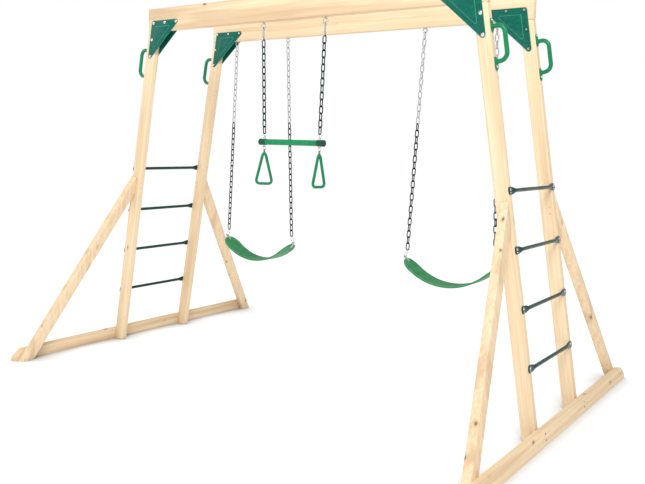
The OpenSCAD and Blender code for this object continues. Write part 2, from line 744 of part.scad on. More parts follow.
at_x(-1) coated_chains();  // left_coated_chains
bare_chains();  // right_bare_chains
coated_chains();  // right_coated_chains
at_x(-1) seat_belt();  // left_seat_belt
seat_belt();  // right_seat_belt
at_x(-1) seat_rings();  // left_seat_rings
seat_rings();  // right_seat_rings
at_x(-1) seat_tabs();  // left_seat_tabs
seat_tabs();  // right_seat_tabs
at_x(-1) seat_rivets();  // left_seat_rivets
seat_rivets();  // right_seat_rivets
trapeze_rods();
trapeze_chains();
trapeze_rings();
trapeze_bar();
bar_end_caps();
bar_staples();
at_x(-1) bar_ring();  // left_bar_ring
at_x(-1) swivel();  // left_swivel
at_x(-1) hand_ring(-left_ring_turn);  // left_hand_ring
bar_ring();  // right_bar_ring
swivel();  // right_swivel
hand_ring(right_ring_turn);  // right_hand_ring
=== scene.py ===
import json
import math
import bpy
import bmesh
from mathutils import Matrix, Vector


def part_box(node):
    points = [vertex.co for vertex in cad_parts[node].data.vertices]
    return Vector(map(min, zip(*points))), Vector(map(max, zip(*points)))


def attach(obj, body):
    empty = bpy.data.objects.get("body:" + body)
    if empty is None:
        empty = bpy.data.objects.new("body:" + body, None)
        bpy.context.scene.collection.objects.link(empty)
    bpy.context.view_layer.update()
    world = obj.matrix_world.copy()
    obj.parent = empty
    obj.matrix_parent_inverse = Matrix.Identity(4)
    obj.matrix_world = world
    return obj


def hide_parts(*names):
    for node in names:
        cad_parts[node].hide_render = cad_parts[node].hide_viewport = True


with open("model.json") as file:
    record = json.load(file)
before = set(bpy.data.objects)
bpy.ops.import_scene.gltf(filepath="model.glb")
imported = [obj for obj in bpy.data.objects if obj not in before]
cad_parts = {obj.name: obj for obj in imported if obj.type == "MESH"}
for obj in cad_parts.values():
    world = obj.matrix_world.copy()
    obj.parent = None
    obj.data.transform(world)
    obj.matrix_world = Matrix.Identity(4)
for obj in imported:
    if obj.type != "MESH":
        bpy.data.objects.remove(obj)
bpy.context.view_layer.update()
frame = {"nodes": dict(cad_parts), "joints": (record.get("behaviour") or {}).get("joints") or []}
print("frame loaded:", len(frame["nodes"]), "nodes")

beamLow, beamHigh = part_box("rear_beam")
legLow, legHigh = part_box("rear_right_leg")
beamEnd, legTop = beamHigh.x, beamLow.z
outerY, timber = beamHigh.y, beamHigh.y - beamLow.y
beamY = outerY - timber / 2
splay = math.atan((legHigh.x - beamEnd) / legTop)
onSlope = Matrix.Translation((beamEnd, 0, legTop)) @ Matrix.Rotation(-splay, 4, "Y")
groundZ = -legTop / math.cos(splay)
mirrorX, mirrorY = Matrix.Scale(-1, 4, (1, 0, 0)), Matrix.Scale(-1, 4, (0, 1, 0))


# Materials
def newMaterial(name):
    material = bpy.data.materials.new(name)
    material.use_nodes = True
    return material, material.node_tree.nodes, material.node_tree.links


def ramp(nodes, stops):
    node = nodes.new("ShaderNodeValToRGB")
    while len(node.color_ramp.elements) < len(stops):
        node.color_ramp.elements.new(0.5)
    for element, (place, colour) in zip(node.color_ramp.elements, stops):
        element.position = place
        element.color = (*colour, 1)
    return node


def noise(nodes, links, source, scale, detail=4, stretch=(1, 1, 1)):
    mapping = nodes.new("ShaderNodeMapping")
    mapping.inputs["Scale"].default_value = stretch
    links.new(source, mapping.inputs["Vector"])
    node = nodes.new("ShaderNodeTexNoise")
    node.inputs["Scale"].default_value = scale
    node.inputs["Detail"].default_value = detail
    links.new(mapping.outputs["Vector"], node.inputs["Vector"])
    return node


def mixColour(nodes, links, factor, first, second, mode="MIX"):
    node = nodes.new("ShaderNodeMix")
    node.data_type = "RGBA"
    node.blend_type = mode
    if isinstance(factor, float):
        node.inputs["Factor"].default_value = factor
    else:
        links.new(factor, node.inputs["Factor"])
    for place, value in (("A", first), ("B", second)):
        socket = [s for s in node.inputs if s.name == place and s.type == "RGBA"][0]
        if isinstance(value, tuple):
            socket.default_value = (*value, 1)
        else:
            links.new(value, socket)
    return [s for s in node.outputs if s.type == "RGBA"][0]


def bumped(nodes, links, height, strength, distance, before=None):
    node = nodes.new("ShaderNodeBump")
    node.inputs["Strength"].default_value = strength
    node.inputs["Distance"].default_value = distance
    links.new(height, node.inputs["Height"])
    if before is not None:
        links.new(before, node.inputs["Normal"])
    return node.outputs["Normal"]


woodLook = {
    "pale": (0.84, 0.67, 0.45),
    "tan": (0.74, 0.54, 0.335),
    "late": (0.60, 0.40, 0.225),
    "heart": (0.52, 0.32, 0.175),
    "knot": (0.20, 0.095, 0.045),
    "knotScale": 5.8,
}


def woodMaterial(name, turn, shift):
    # grain runs along the mapped X
    material, nodes, links = newMaterial(name)
    shader = nodes["Principled BSDF"]
    coordinates = nodes.new("ShaderNodeTexCoord")
    place = nodes.new("ShaderNodeMapping")
    place.vector_type = "TEXTURE"
    place.inputs["Rotation"].default_value = turn
    place.inputs["Location"].default_value = shift
    links.new(coordinates.outputs["Object"], place.inputs["Vector"])
    along = place.outputs["Vector"]
    sway = noise(nodes, links, along, 2.2, 3, (0.8, 3, 3))
    swayed = mixColour(nodes, links, 0.03, along, sway.outputs["Color"], "ADD")
    bands = noise(nodes, links, swayed, 9, 2, (0.05, 2.2, 2.2))
    ringColour = ramp(nodes, [(0.34, woodLook["tan"]), (0.50, woodLook["pale"]), (0.62, woodLook["pale"]),
                              (0.72, woodLook["tan"])])
    links.new(bands.outputs["Fac"], ringColour.inputs["Fac"])
    streaks = noise(nodes, links, swayed, 30, 4, (0.035, 3, 3))
    streakColour = ramp(nodes, [(0.30, woodLook["late"]), (0.46, woodLook["tan"]), (0.60, woodLook["pale"])])
    links.new(streaks.outputs["Fac"], streakColour.inputs["Fac"])
    body = mixColour(nodes, links, 0.45, ringColour.outputs["Color"], streakColour.outputs["Color"])
    patches = noise(nodes, links, swayed, 2.0, 2, (0.22, 5, 5))
    patchStep = ramp(nodes, [(0.58, (0, 0, 0)), (0.66, (0.42, 0.42, 0.42))])
    links.new(patches.outputs["Fac"], patchStep.inputs["Fac"])
    body = mixColour(nodes, links, patchStep.outputs["Color"], body, woodLook["heart"])
    knotSpace = nodes.new("ShaderNodeMapping")
    knotSpace.inputs["Scale"].default_value = (0.75, 1.5, 1.5)
    links.new(swayed, knotSpace.inputs["Vector"])
    knots = nodes.new("ShaderNodeTexVoronoi")
    knots.inputs["Scale"].default_value = woodLook["knotScale"]
    knots.inputs["Randomness"].default_value = 1
    links.new(knotSpace.outputs["Vector"], knots.inputs["Vector"])
    knotStep = ramp(nodes, [(0.0, (1, 1, 1)), (0.045, (0.85, 0.85, 0.85)),
                            (0.07, (0.3, 0.3, 0.3)), (0.14, (0, 0, 0))])
    links.new(knots.outputs["Distance"], knotStep.inputs["Fac"])
    body = mixColour(nodes, links, knotStep.outputs["Color"], body, woodLook["knot"])
    links.new(body, shader.inputs["Base Color"])
    rough = ramp(nodes, [(0.3, (0.62, 0.62, 0.62)), (0.7, (0.78, 0.78, 0.78))])
    links.new(streaks.outputs["Fac"], rough.inputs["Fac"])
    links.new(rough.outputs["Color"], shader.inputs["Roughness"])
    shader.inputs["Specular IOR Level"].default_value = 0.3
    pores = noise(nodes, links, along, 160, 4, (0.12, 2, 2))
    normal = bumped(nodes, links, streaks.outputs["Fac"], 0.25, 0.0012)
    normal = bumped(nodes, links, pores.outputs["Fac"], 0.16, 0.0005, normal)
    links.new(normal, shader.inputs["Normal"])
    return material


finishes = {
    "greenPlate": dict(low=(0.0, 0.095, 0.066), high=(0.0, 0.135, 0.095), size=60,
         rough=(0.26, 0.38), coat=0.1, bump=(220, 0.10)),
    # lighter green: a painted highlight along the plate's rim bead and the emboss rim
    "plateEdgePaintedHighlight": dict(low=(0.03, 0.24, 0.16), high=(0.05, 0.31, 0.21), size=60,
         rough=(0.3, 0.4), coat=0.3, bump=(220, 0.08)),
    "rungGreen": dict(low=(0.0, 0.028, 0.018), high=(0.002, 0.050, 0.034), size=45,
         rough=(0.24, 0.36), coat=0.15, bump=(260, 0.12)),
    "gripGreen": dict(low=(0.0, 0.17, 0.062), high=(0.0, 0.225, 0.088), size=30,
         rough=(0.22, 0.32), coat=0.25, bump=(120, 0.05)),
    "barGreen": dict(low=(0.0, 0.21, 0.072), high=(0.0, 0.28, 0.105), size=30,
         rough=(0.28, 0.38), coat=0.15, bump=(180, 0.06)),
    "capGreen": dict(low=(0.0, 0.055, 0.030), high=(0.004, 0.085, 0.048), size=40,
         rough=(0.36, 0.48), coat=0.1, bump=(240, 0.08)),
    "chainCoat": dict(low=(0.0, 0.012, 0.007), high=(0.002, 0.030, 0.016), size=55,
         rough=(0.34, 0.48), coat=0.0, bump=(260, 0.12)),
    "beltGreen": dict(low=(0.020, 0.205, 0.070), high=(0.038, 0.270, 0.100), size=22,
         rough=(0.46, 0.60), coat=0.05, bump=(420, 0.22)),
    # lighter green: a painted highlight along the belt's rim bead
    "beltRimPaintedHighlight": dict(low=(0.16, 0.44, 0.20), high=(0.22, 0.52, 0.26), size=30,
         rough=(0.4, 0.5), coat=0.1, bump=(300, 0.1)),
    "brightSteel": dict(low=(0.62, 0.63, 0.65), high=(0.80, 0.81, 0.82), size=90,
         rough=(0.16, 0.28), metal=1.0, bump=(320, 0.06)),
    "zinc": dict(low=(0.46, 0.47, 0.48), high=(0.66, 0.67, 0.68), size=70,
         rough=(0.28, 0.42), metal=1.0, bump=(260, 0.10)),
    "darkSteel": dict(low=(0.05, 0.05, 0.055), high=(0.13, 0.13, 0.14), size=120,
         rough=(0.4, 0.55), metal=0.8, bump=(300, 0.1)),
    "brass": dict(low=(0.16, 0.10, 0.04), high=(0.34, 0.23, 0.10), size=90,
         rough=(0.35, 0.5), metal=0.9, bump=(300, 0.08)),
}


def coatedMaterial(name, low, high, size, rough, bump, coat=0.0, metal=0.0):
    material, nodes, links = newMaterial(name)
    shader = nodes["Principled BSDF"]
    coordinates = nodes.new("ShaderNodeTexCoord").outputs["Object"]
    cloud = noise(nodes, links, coordinates, size, 5)
    colour = ramp(nodes, [(0.35, low), (0.68, high)])
    links.new(cloud.outputs["Fac"], colour.inputs["Fac"])
    links.new(colour.outputs["Color"], shader.inputs["Base Color"])
    scuffs = noise(nodes, links, coordinates, size * 0.3, 6)
    gloss = ramp(nodes, [(0.38, (rough[0],) * 3), (0.66, (rough[1],) * 3)])
    links.new(scuffs.outputs["Fac"], gloss.inputs["Fac"])
    links.new(gloss.outputs["Color"], shader.inputs["Roughness"])
    shader.inputs["Metallic"].default_value = metal
    shader.inputs["Coat Weight"].default_value = coat
    shader.inputs["Coat Roughness"].default_value = 0.15
    shader.inputs["Specular IOR Level"].default_value = 0.22
    skin = noise(nodes, links, coordinates, bump[0], 3)
    links.new(bumped(nodes, links, skin.outputs["Fac"], bump[1], 0.0006), shader.inputs["Normal"])
    return material


looks = {name: coatedMaterial(name, **values) for name, values in finishes.items()}
print("materials:", len(looks))


# Helpers for the shapes and for handing pieces to the frame
def putPiece(bm, name, body, nodes, material, sharpAngle=40):
    bmesh.ops.remove_doubles(bm, verts=bm.verts, dist=1e-6)
    bmesh.ops.recalc_face_normals(bm, faces=bm.faces)
    mesh = bpy.data.meshes.new(name)
    bm.to_mesh(mesh)
    bm.free()
    mesh.shade_smooth()
    mesh.set_sharp_from_angle(angle=math.radians(sharpAngle))
    piece = bpy.data.objects.new(name, mesh)
    bpy.context.scene.collection.objects.link(piece)
    for one in material if isinstance(material, list) else [material]:
        mesh.materials.append(one)
    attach(piece, body)
    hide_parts(*nodes)
    return piece


def addTo(bm, part, matrix, materialIndex=0):
    # moves a finished bmesh and joins it to another; None keeps the material of each face
    bmesh.ops.transform(part, matrix=matrix, verts=part.verts)
    if materialIndex is not None:
        for face in part.faces:
            face.material_index = materialIndex
    mesh = bpy.data.meshes.new("joined")
    part.to_mesh(mesh)
    part.free()
    bm.from_mesh(mesh)
    bpy.data.meshes.remove(mesh)


def slab(outline, along, rounding, segments=3):
    # an outline of points, drawn out along a vector, with its edges rounded
    bm = bmesh.new()
    face = bm.faces.new([bm.verts.new(point) for point in outline])
    grown = bmesh.ops.extrude_face_region(bm, geom=[face])["geom"]
    bmesh.ops.translate(bm, vec=along, verts=[item for item in grown if isinstance(item, bmesh.types.BMVert)])
    bmesh.ops.recalc_face_normals(bm, faces=bm.faces)
    bmesh.ops.bevel(bm, geom=bm.edges[:], offset=rounding, segments=segments, profile=0.5,
                    affect="EDGES", material=-1)
    return bm


def sideAngle(corners, i):
    (ax, ay, ar), (bx, by, br) = corners[i], corners[(i + 1) % len(corners)]
    length = math.hypot(bx - ax, by - ay)
    return math.atan2(by - ay, bx - ax) - math.pi / 2 + math.asin((ar - br) / length)


def roundedPath(corners, steps=8):
    # points round an anticlockwise outline of corners (x, y, radius)
    points = []
    for i, (x, y, r) in enumerate(corners):
        start = sideAngle(corners, (i - 1) % len(corners))
        turn = (sideAngle(corners, i) - start) % (2 * math.pi)
        for step in range(steps + 1):
            angle = start + turn * step / steps
            points.append((x + r * math.cos(angle), y + r * math.sin(angle)))
    return points


def barAlong(points, radius, closed=True, sides=4):
    # a round bar along points, as a bmesh
    curve = bpy.data.curves.new("bar", "CURVE")
    curve.dimensions = "3D"
    curve.bevel_depth = radius
    curve.bevel_resolution = sides
    curve.use_fill_caps = True
    spline = curve.splines.new("POLY")
    spline.points.add(len(points) - 1)
    for place, point in zip(spline.points, points):
        place.co = (*point, 1)
    spline.use_cyclic_u = closed
    holder = bpy.data.objects.new("bar", curve)
    mesh = bpy.data.meshes.new_from_object(holder)
    bm = bmesh.new()
    bm.from_mesh(mesh)
    bpy.data.objects.remove(holder)
    bpy.data.curves.remove(curve)
    bpy.data.meshes.remove(mesh)
    return bm


def loft(stations, sides=28):
    # rings (y, half x, half z, flat x limit) joined along Y
    bm = bmesh.new()
    ring = bmesh.ops.create_circle(bm, cap_ends=True, radius=1, segments=sides)["verts"]
    bmesh.ops.rotate(bm, verts=ring, matrix=Matrix.Rotation(math.pi / 2, 3, "X"))
    unit = [vert.co.copy() for vert in ring]
    edges = list({edge for vert in ring for edge in vert.link_edges})
    for number, (y, halfX, halfZ, limit) in enumerate(stations):
        if number:
            grown = bmesh.ops.extrude_edge_only(bm, edges=edges)["geom"]
            edges = [item for item in grown if isinstance(item, bmesh.types.BMEdge)]
            fresh = [item for item in grown if isinstance(item, bmesh.types.BMVert)]
            ring = [min(fresh, key=lambda item: (item.co - old.co).length) for old in ring]
        for vert, start in zip(ring, unit):
            vert.co = (max(-limit, min(limit, start.x * halfX)), y, start.z * halfZ)
    bmesh.ops.contextual_create(bm, geom=edges)
    return bm


# Timber
timberLook = {"arris": 0.005, "boardHeight": 0.070, "boardClip": 0.050, "braceWidth": 0.070,
              "braceTip": 0.010, "braceTop": 1.185, "footInset": 0.020}
legCut = beamEnd - legLow.x
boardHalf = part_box("right_base_board")[1].y


def trimmed(bm):
    # everything below the ground is cut away and closed
    bmesh.ops.bisect_plane(bm, geom=bm.verts[:] + bm.edges[:] + bm.faces[:], plane_co=(0, 0, 0),
                           plane_no=(0, 0, 1), clear_inner=True)
    bmesh.ops.holes_fill(bm, edges=[edge for edge in bm.edges if edge.is_boundary], sides=0)


def beamShape():
    corners = [(-beamEnd, legTop), (beamEnd, legTop), (beamEnd, beamHigh.z), (-beamEnd, beamHigh.z)]
    return slab([(x, outerY - timber, z) for x, z in corners], (0, timber, 0), timberLook["arris"])


def legShape():
    foot = legHigh.x
    corners = [(beamEnd - legCut, legTop), (foot - legCut, 0), (foot, 0), (beamEnd, legTop)]
    return slab([(x, outerY - timber, z) for x, z in corners], (0, timber, 0), timberLook["arris"])


def boardShape():
    top, clip = groundZ + timberLook["boardHeight"], timberLook["boardClip"]
    low = groundZ - timber
    corners = [(-boardHalf, low), (boardHalf, low), (boardHalf, top - clip), (boardHalf - clip, top),
               (clip - boardHalf, top), (-boardHalf, top - clip)]
    bm = slab([(0, y, z) for y, z in corners], (timber, 0, 0), timberLook["arris"])
    bmesh.ops.transform(bm, matrix=onSlope, verts=bm.verts)
    trimmed(bm)
    return bm


def onFace(height):
    return (height - legTop) / math.cos(splay)


braceTopZ = onFace(timberLook["braceTop"])
braceFoot = boardHalf - timberLook["footInset"]
braceLean = math.atan2(braceFoot - outerY - timberLook["braceTip"], braceTopZ - groundZ)


def braceShape():
    width, tip = timberLook["braceWidth"], timberLook["braceTip"]
    low = braceTopZ + tip / math.tan(braceLean) - width / math.sin(braceLean)
    run = braceFoot + timber * math.tan(braceLean)
    below = groundZ - timber
    corners = [(outerY, low), (run - width / math.cos(braceLean), below), (run, below),
               (outerY + tip, braceTopZ), (outerY, braceTopZ)]
    bm = slab([(-timber, y, z) for y, z in corners], (timber, 0, 0), timberLook["arris"] * 0.8)
    bmesh.ops.transform(bm, matrix=onSlope, verts=bm.verts)
    trimmed(bm)
    return bm


ends = {"left": mirrorX, "right": Matrix.Identity(4)}
depths = {"front": mirrorY, "rear": Matrix.Identity(4)}


def timberPiece(name, bm, place, turn, seed):
    bmesh.ops.transform(bm, matrix=place, verts=bm.verts)
    shift = (0.37 * seed, 0.61 * seed, 0.23 * seed)
    putPiece(bm, name + "_timber", "frame", [name], woodMaterial("wood_" + name, turn, shift), 30)


seed = 1
for depth, flipY in depths.items():
    timberPiece(depth + "_beam", beamShape(), flipY, (0, 0, 0), seed)
    seed += 1
    for end, flipX in ends.items():
        tilt = math.pi / 2 + (splay if end == "left" else -splay)
        timberPiece(f"{depth}_{end}_leg", legShape(), flipX @ flipY, (0, tilt, 0), seed)
        lean = (math.pi / 2 - braceLean) * (-1 if depth == "rear" else 1)
        timberPiece(f"{depth}_{end}_brace", braceShape(), flipX @ flipY, (0, math.pi / 2, lean), seed + 1)
        seed += 2
for end, flipX in ends.items():
    timberPiece(end + "_base_board", boardShape(), flipX, (0, 0, math.pi / 2), seed)
    seed += 1
print("timber done")


# Corner plates
plateLook = {"thick": 0.003, "margin": 0.015, "step": 0.0009, "inset": 0.050, "drop": 0.092,
             "alongBeam": 0.208, "alongLeg": 0.214, "rim": 0.0011, "rimInset": 0.0012, "rimSink": 0.0002,
             "emboss": 0.56, "embossRadius": 0.009, "embossHeight": 0.003, "embossRim": 0.0035,
             "embossRimShare": 0.55, "embossFoot": 0.001, "rounding": 0.0006, "embossRounding": 0.0005}


def plateShape():
    look = plateLook
    corner = Vector((beamEnd - look["inset"], beamHigh.z - look["drop"]))
    tips = [corner, corner - Vector((look["alongBeam"], 0)),
            corner + look["alongLeg"] * Vector((math.sin(splay), -math.cos(splay)))]
    middle = sum(tips, Vector((0, 0))) / 3
    bm = bmesh.new()
    outline = roundedPath([(*tip, look["margin"]) for tip in tips])
    flat = look["thick"] - look["step"]
    plate = slab([(x, 0, z) for x, z in outline], (0, flat, 0), look["rounding"], 2)
    addTo(bm, plate, Matrix.Identity(4))
    rimPath = roundedPath([(*tip, look["margin"] - look["rimInset"]) for tip in tips])
    # the rim bead takes material 1, the lighter green of the painted highlight
    rim = barAlong([(x, flat - look["rimSink"], z) for x, z in rimPath], look["rim"], sides=2)
    addTo(bm, rim, Matrix.Identity(4), 1)
    foot = look["embossFoot"]
    # the lower, wider step of the emboss takes material 1, the painted highlight green; the raised top keeps
    # the plate green
    for shrink, index, share in ((0.0, 1, look["embossRimShare"]), (look["embossRim"], 0, 1.0)):
        inner = [(*(middle + look["emboss"] * (tip - middle)), look["embossRadius"] - shrink) for tip in tips]
        rise = flat + (look["embossHeight"] + look["step"]) * share
        raised = slab([(x, foot, z) for x, z in roundedPath(inner)], (0, rise - foot, 0),
                      look["embossRounding"], 2)
        addTo(bm, raised, Matrix.Identity(4), index)
    return bm


for depth, flipY in depths.items():
    for end, flipX in ends.items():
        pair = bmesh.new()
        outside = Matrix.Translation((0, outerY, 0))
        inside = Matrix.Translation((0, outerY - timber, 0)) @ mirrorY
        for place in (outside, inside):
            addTo(pair, plateShape(), flipX @ flipY @ place, None)
        name = f"{depth}_{end}_plates"
        putPiece(pair, name + "_steel", "frame", [name],
                 [looks["greenPlate"], looks["plateEdgePaintedHighlight"]])
print("plates done")


# Rungs
rungsPerEnd = 4
rungLook = {"tube": 0.010, "paddleHalf": 0.019, "paddleRound": 0.0032, "paddleFlat": 0.0025, "taper": 0.050,
            "endGap": 0.002, "steps": 9}


def rungShape():
    look = rungLook
    tubeEnd, paddle = outerY - timber - look["taper"], outerY - look["endGap"]
    bulge, flat, paddleHalf = look["paddleRound"], look["paddleFlat"], look["paddleHalf"]
    half = [(paddle, 0.0022, 0.011, 0.0022), (paddle - 0.003, 0.0030, 0.0160, flat),
            (paddle - 0.008, bulge, paddleHalf, flat), (outerY - timber, bulge, paddleHalf, flat)]
    for step in range(1, look["steps"] + 1):
        t = step / look["steps"]
        ease = t * t * (3 - 2 * t)
        halfX = bulge + (look["tube"] - bulge) * ease
        halfZ = paddleHalf + (look["tube"] - paddleHalf) * ease
        limit = flat + (look["tube"] - flat) * min(1, ease * 1.1)
        half.append((outerY - timber - look["taper"] * t, halfX, halfZ, limit))
    middle = [(y, look["tube"], look["tube"], 1) for y in (tubeEnd * 0.5, 0, -tubeEnd * 0.5)]
    return loft(half + middle + [(-y, a, b, c) for y, a, b, c in reversed(half)])


for end in ends:
    for number in range(1, rungsPerEnd + 1):
        node = f"{end}_rung_{number}"
        low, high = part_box(node)
        tilt = splay if end == "left" else -splay
        bm = rungShape()
        place = Matrix.Translation((low + high) / 2) @ Matrix.Rotation(tilt, 4, "Y")
        bmesh.ops.transform(bm, matrix=place, verts=bm.verts)
        putPiece(bm, node + "_tube", "frame", [node], looks["rungGreen"], 55)
print("rungs done")


# Grips
gripLook = {"bar": 0.0115, "reach": 0.076, "rootHalf": 0.086, "earHalf": 0.114, "corner": 0.038, "steps": 10,
            "ear": 0.0145, "earThick": 0.006, "collarWall": 0.0022, "collarHeight": 0.011, "lift": 0.001}


def disc(radius, height, rounding, sides=32):
    # a short cylinder standing on the XY plane, with rounded rims
    bm = bmesh.new()
    bmesh.ops.create_cone(bm, cap_ends=True, radius1=radius, radius2=radius, depth=height, segments=sides)
    bmesh.ops.translate(bm, vec=(0, 0, height / 2), verts=bm.verts)
    rims = [edge for edge in bm.edges if abs(edge.verts[0].co.z - edge.verts[1].co.z) < 1e-7]
    bmesh.ops.bevel(bm, geom=rims, offset=rounding, segments=3, profile=0.5, affect="EDGES", material=-1)
    return bm


def gripShape():
    look = gripLook
    out, root, r = look["reach"] - look["bar"], look["rootHalf"], look["corner"]
    path = [(look["lift"], 0, -root)]
    for centre, start in ((-root + r, -90), (root - r, 0)):
        for step in range(look["steps"] + 1):
            angle = math.radians(start + 90 / look["steps"] * step)
            path.append((out - r + r * math.cos(angle), 0, centre + r * math.sin(angle)))
    path.append((look["lift"], 0, root))
    bm = barAlong(path, look["bar"], closed=False, sides=6)
    for side in (-1, 1):
        earEnds = [(0, -look["earHalf"], look["ear"]), (0, -root + 0.012, look["ear"] * 0.98)]
        earPath = roundedPath(earEnds, 12)
        ear = slab([(x, y, 0) for x, y in earPath], (0, 0, look["earThick"]), 0.002)
        stand = Matrix.Rotation(math.pi / 2, 4, "Y") @ Matrix.Rotation(math.pi / 2, 4, "Z")
        flip = Matrix.Scale(-1, 4, (0, 0, 1)) if side > 0 else Matrix.Identity(4)
        addTo(bm, ear, flip @ stand)
        collar = disc(look["bar"] + look["collarWall"], look["collarHeight"], 0.002)
        addTo(bm, collar, Matrix.Translation((0, 0, side * root)) @ Matrix.Rotation(math.pi / 2, 4, "Y"))
    return bm


for depth, flipY in depths.items():
    for end, flipX in ends.items():
        node = f"{depth}_{end}_grip"
        low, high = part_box("rear_right_grip")
        slope = onSlope.inverted() @ ((low + high) / 2)
        bm = gripShape()
        place = flipX @ flipY @ onSlope @ Matrix.Translation((0, beamY, slope.z))
        bmesh.ops.transform(bm, matrix=place, verts=bm.verts)
        putPiece(bm, node + "_moulding", "frame", [node], looks["gripGreen"], 50)
print("grips done")


# Seats
beltLook = {"span": 0.600, "sag": 0.135, "width": 0.150, "thick": 0.009, "corner": 0.060, "lengthSteps": 64,
            "widthSteps": 12, "rounding": 0.0025, "rim": 0.0016, "rimInset": 0.007, "rimSink": 0.0002,
            "rimSteps": 26}
beltRadius = ((beltLook["span"] / 2) ** 2 + beltLook["sag"] ** 2) / (2 * beltLook["sag"])
beltTurn = math.asin(beltLook["span"] / 2 / beltRadius)
seatLow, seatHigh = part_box("right_seat_belt")
seatX, seatBottom = (seatLow.x + seatHigh.x) / 2, seatLow.z
beltCentre = seatBottom + beltLook["thick"] / 2 + beltRadius


def halfWidthAt(x):
    look = beltLook
    past = max(0.0, abs(x) - (look["span"] / 2 - look["corner"]))
    return look["width"] / 2 - look["corner"] + math.sqrt(max(0.0, look["corner"] ** 2 - past ** 2))


def beltShape():
    look = beltLook
    bm = bmesh.new()
    bmesh.ops.create_grid(bm, x_segments=look["lengthSteps"], y_segments=look["widthSteps"], size=1)
    for vert in bm.verts:
        angle = math.sin(vert.co.x * math.pi / 2) * beltTurn
        x = beltRadius * math.sin(angle)
        vert.co = (x, vert.co.y * halfWidthAt(x), -beltRadius * math.cos(angle))
    bmesh.ops.recalc_face_normals(bm, faces=bm.faces)
    bmesh.ops.solidify(bm, geom=bm.faces[:], thickness=look["thick"])
    low = min(vert.co.z for vert in bm.verts)
    bmesh.ops.translate(bm, vec=(0, 0, -beltRadius - look["thick"] / 2 - low), verts=bm.verts)
    rims = [edge for edge in bm.edges
            if len(edge.link_faces) == 2 and edge.calc_face_angle(0) > math.radians(50)]
    bmesh.ops.bevel(bm, geom=rims, offset=look["rounding"], segments=3, profile=0.5,
                    affect="EDGES", material=-1)
    path = []
    up = beltRadius - look["thick"] / 2 - look["rimSink"]
    for side in (1, -1):
        for step in range(-look["rimSteps"], look["rimSteps"] + 1):
            x = side * step / look["rimSteps"] * (look["span"] / 2 - look["rimInset"])
            y = side * (halfWidthAt(x) - look["rimInset"])
            angle = math.asin(x / beltRadius)
            path.append((up * math.sin(angle), -y, -up * math.cos(angle)))
    # the rim bead takes material 1, the lighter green of the painted highlight
    addTo(bm, barAlong(path, look["rim"], sides=2), Matrix.Identity(4), 1)
    return bm


seatRingLook = {"bar": 0.0025, "height": 0.047, "width": 0.037, "corner": 0.008, "hang": 0.00485,
                "fromMiddle": 0.2935, "tabHalf": 0.0023}
for end, flipX in ends.items():
    bm = beltShape()
    bmesh.ops.transform(bm, matrix=flipX @ Matrix.Translation((seatX, beamY, beltCentre)), verts=bm.verts)
    putPiece(bm, end + "_belt", end + "_seat", [end + "_seat_belt"],
             [looks["beltGreen"], looks["beltRimPaintedHighlight"]], 50)
    bm = bmesh.new()
    look = seatRingLook
    pivot = next(j for j in frame["joints"] if j["name"] == end + "_seat_tilt")["pos_m"]
    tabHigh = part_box("right_seat_tabs")[1]
    tabX = tabHigh.x - (beltLook["thick"] / 2 + look["tabHalf"]) - seatX
    foot = look["width"] / 2 - look["bar"] - look["corner"]
    top = look["hang"] + look["bar"] - look["corner"]
    path = roundedPath([(0, top, look["corner"]), (-foot, look["corner"] - look["height"], look["corner"]),
                        (foot, look["corner"] - look["height"], look["corner"])])
    lean = math.asin((tabX - look["fromMiddle"]) / look["height"])
    for side in (-1, 1):
        ring = barAlong([(0, y, z) for y, z in path], look["bar"], sides=4)
        hook = Matrix.Translation((seatX + side * look["fromMiddle"], beamY, pivot[2]))
        addTo(bm, ring, flipX @ hook @ Matrix.Rotation(-side * lean, 4, "Y"))
    putPiece(bm, end + "_triangles", end + "_seat", [end + "_seat_rings"],
             looks["brightSteel"], 60)
print("seats done")


# Hand rings
handLook = {"height": 0.197, "width": 0.110, "bar": 0.0085, "apex": 0.011, "foot": 0.020, "web": 0.008,
            "webHeight": 0.040, "webArch": 0.026, "webShoulder": 0.012, "boss": 0.010,
            "bossHeight": 0.017, "bossRise": 0.002, "leftTurn": 30, "rightTurn": 82}


def handRingShape():
    look = handLook
    footX = look["width"] / 2 - look["bar"] - look["foot"]
    footZ = look["bar"] + look["foot"] - look["height"]
    apexZ = -look["bossRise"] - look["bar"] - look["apex"]
    corners = [(0, apexZ, look["apex"]), (-footX, footZ, look["foot"]), (footX, footZ, look["foot"])]
    bm = barAlong([(x, 0, z) for x, z in roundedPath(corners, 10)], look["bar"], sides=7)
    slope = footX / (apexZ - footZ)
    reach = slope * (look["webHeight"] - look["webShoulder"]) + look["apex"]
    outline = []
    for degrees in range(0, 181, 15):
        angle = math.radians(degrees)
        outline.append((-reach * math.cos(angle), -look["webHeight"] + look["webArch"] * math.sin(angle)))
    outline += [(look["apex"], apexZ + look["apex"]), (-look["apex"], apexZ + look["apex"])]
    web = slab([(x, -look["web"] / 2, z) for x, z in outline], (0, look["web"], 0), 0.0015, 2)
    addTo(bm, web, Matrix.Identity(4))
    boss = disc(look["boss"], look["bossHeight"], 0.002)
    addTo(bm, boss, Matrix.Translation((0, 0, -look["bossHeight"])))
    return bm


for end in ends:
    node = end + "_hand_ring"
    low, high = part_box(node)
    centre = (low + high) / 2
    bm = handRingShape()
    turn = math.radians(handLook["rightTurn"] if end == "right" else handLook["leftTurn"])
    place = Matrix.Translation((centre.x, centre.y, high.z)) @ Matrix.Rotation(turn, 4, "Z")
    bmesh.ops.transform(bm, matrix=place, verts=bm.verts)
    putPiece(bm, node + "_moulding", end + "_ring", [node], looks["gripGreen"], 60)
print("hand rings done")

